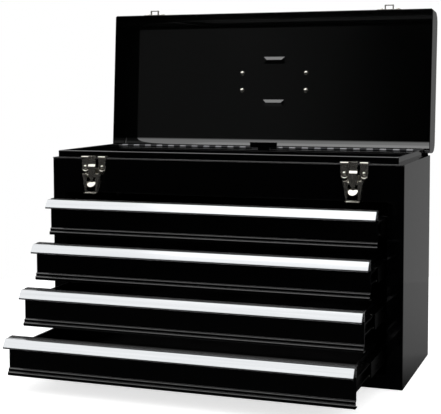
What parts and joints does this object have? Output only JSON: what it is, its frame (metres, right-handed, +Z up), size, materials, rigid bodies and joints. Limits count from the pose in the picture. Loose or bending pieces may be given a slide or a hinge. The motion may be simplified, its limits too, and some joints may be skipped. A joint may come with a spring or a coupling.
{
  "type": "machinist tool chest",
  "caption": "Portable steel tool chest with a hinged lid over a till, drawers on telescopic slides, draw latches and a folding handle on the lid.",
  "frame": {"origin": "centre of the base's underside", "axes": "+X to the chest's right side as seen from the front, -Y to the front, +Z up"},
  "size_m": [0.52, 0.4673, 0.5285],
  "materials": {
    "cabinet_paint": "gloss black enamel",
    "lid_paint": "gloss black enamel",
    "drawer_paint": "gloss black enamel",
    "pull_metal": "satin",
    "bright_plate": "nickel plate",
    "slide_steel": "zinc plate",
    "runner_nylon": "matt",
    "grip_plastic": "matt"
  },
  "bodies": {
    "cabinet": {"side_panel_left": "cabinet_paint", "side_panel_right": "cabinet_paint", "front_fascia": "cabinet_paint", "base_pan": "cabinet_paint", "back_panel": "cabinet_paint", "till_collar": "cabinet_paint", "till_tray": "cabinet_paint", "slide_posts": "cabinet_paint", "hinge_leaf_lower": "bright_plate", "hinge_pin": "bright_plate", "latch_bases": "bright_plate", "lock_guides": "cabinet_paint", "slide_outer_1": "slide_steel", "slide_outer_2": "slide_steel", "slide_outer_3": "slide_steel", "slide_outer_4": "slide_steel"},
    "lid": {"lid_shell": "lid_paint", "hinge_leaf_upper": "bright_plate", "lock_tab": "lid_paint", "handle_brackets": "bright_plate", "lid_strikes": "bright_plate"},
    "handle": {"handle_bail": "bright_plate", "handle_grip": "grip_plastic"},
    "lock": {"lock_bar": "cabinet_paint"},
    "latch_lever_left": {"latch_lever_left": "bright_plate"},
    "latch_claw_left": {"latch_claw_left": "bright_plate"},
    "latch_lever_right": {"latch_lever_right": "bright_plate"},
    "latch_claw_right": {"latch_claw_right": "bright_plate"},
    "drawer_1": {"drawer_box_1": "drawer_paint", "drawer_front_1": "drawer_paint", "drawer_pull_1": "pull_metal", "slide_inner_1": "slide_steel"},
    "slide_middle_1": {"slide_middle_1": "slide_steel", "slide_runners_1": "runner_nylon"},
    "drawer_2": {"drawer_box_2": "drawer_paint", "drawer_front_2": "drawer_paint", "drawer_pull_2": "pull_metal", "slide_inner_2": "slide_steel"},
    "slide_middle_2": {"slide_middle_2": "slide_steel", "slide_runners_2": "runner_nylon"},
    "drawer_3": {"drawer_box_3": "drawer_paint", "drawer_front_3": "drawer_paint", "drawer_pull_3": "pull_metal", "slide_inner_3": "slide_steel"},
    "slide_middle_3": {"slide_middle_3": "slide_steel", "slide_runners_3": "runner_nylon"},
    "drawer_4": {"drawer_box_4": "drawer_paint", "drawer_front_4": "drawer_paint", "drawer_pull_4": "pull_metal", "slide_inner_4": "slide_steel"},
    "slide_middle_4": {"slide_middle_4": "slide_steel", "slide_runners_4": "runner_nylon"}
  },
  "joints": [
    {"name": "lid_hinge", "type": "hinge", "parent": "cabinet", "child": "lid", "pos_m": [0, 0.1074, 0.3085], "axis": [-1, 0, 0], "range_deg": [-94.3, 0]},
    {"name": "handle_pivot", "type": "hinge", "parent": "lid", "child": "handle", "pos_m": [0, 0.16681, 0.41174], "axis": [1, 0, 0], "range_deg": [-4.3, 175.7]},
    {"name": "lock_slide", "type": "slide", "parent": "cabinet", "child": "lock", "axis": [0, 0, 1], "range_m": [-0.006, 0]},
    {"name": "latch_lever_pivot_left", "type": "hinge", "parent": "cabinet", "child": "latch_lever_left", "pos_m": [-0.193, -0.111, 0.277], "axis": [-1, 0, 0], "range_deg": [0, 100]},
    {"name": "latch_claw_pivot_left", "type": "hinge", "parent": "latch_lever_left", "child": "latch_claw_left", "pos_m": [-0.193, -0.111, 0.266], "axis": [-1, 0, 0], "range_deg": [-100, 0]},
    {"name": "latch_lever_pivot_right", "type": "hinge", "parent": "cabinet", "child": "latch_lever_right", "pos_m": [0.193, -0.111, 0.277], "axis": [-1, 0, 0], "range_deg": [0, 100]},
    {"name": "latch_claw_pivot_right", "type": "hinge", "parent": "latch_lever_right", "child": "latch_claw_right", "pos_m": [0.193, -0.111, 0.266], "axis": [-1, 0, 0], "range_deg": [-100, 0]},
    {"name": "drawer_slide_1", "type": "slide", "parent": "cabinet", "child": "drawer_1", "axis": [0, -1, 0], "range_m": [-0.052, 0.133]},
    {"name": "middle_slide_1", "type": "slide", "parent": "cabinet", "child": "slide_middle_1", "axis": [0, -1, 0], "range_m": [-0.026, 0.0665]},
    {"name": "drawer_slide_2", "type": "slide", "parent": "cabinet", "child": "drawer_2", "axis": [0, -1, 0], "range_m": [-0.0946, 0.0904]},
    {"name": "middle_slide_2", "type": "slide", "parent": "cabinet", "child": "slide_middle_2", "axis": [0, -1, 0], "range_m": [-0.0473, 0.0452]},
    {"name": "drawer_slide_3", "type": "slide", "parent": "cabinet", "child": "drawer_3", "axis": [0, -1, 0], "range_m": [-0.1289, 0.0561]},
    {"name": "middle_slide_3", "type": "slide", "parent": "cabinet", "child": "slide_middle_3", "axis": [0, -1, 0], "range_m": [-0.06445, 0.02805]},
    {"name": "drawer_slide_4", "type": "slide", "parent": "cabinet", "child": "drawer_4", "axis": [0, -1, 0], "range_m": [-0.172, 0.013]},
    {"name": "middle_slide_4", "type": "slide", "parent": "cabinet", "child": "slide_middle_4", "axis": [0, -1, 0], "range_m": [-0.086, 0.0065]}
  ],
  "couplings": [
    {"joint": "lock_slide", "follows": "lid_hinge", "m_per_rad": 0.0036454},
    {"joint": "latch_claw_pivot_left", "follows": "latch_lever_pivot_left", "ratio": -1},
    {"joint": "latch_claw_pivot_right", "follows": "latch_lever_pivot_right", "ratio": -1},
    {"joint": "middle_slide_1", "follows": "drawer_slide_1", "ratio": 0.5},
    {"joint": "middle_slide_2", "follows": "drawer_slide_2", "ratio": 0.5},
    {"joint": "middle_slide_3", "follows": "drawer_slide_3", "ratio": 0.5},
    {"joint": "middle_slide_4", "follows": "drawer_slide_4", "ratio": 0.5}
  ]
}
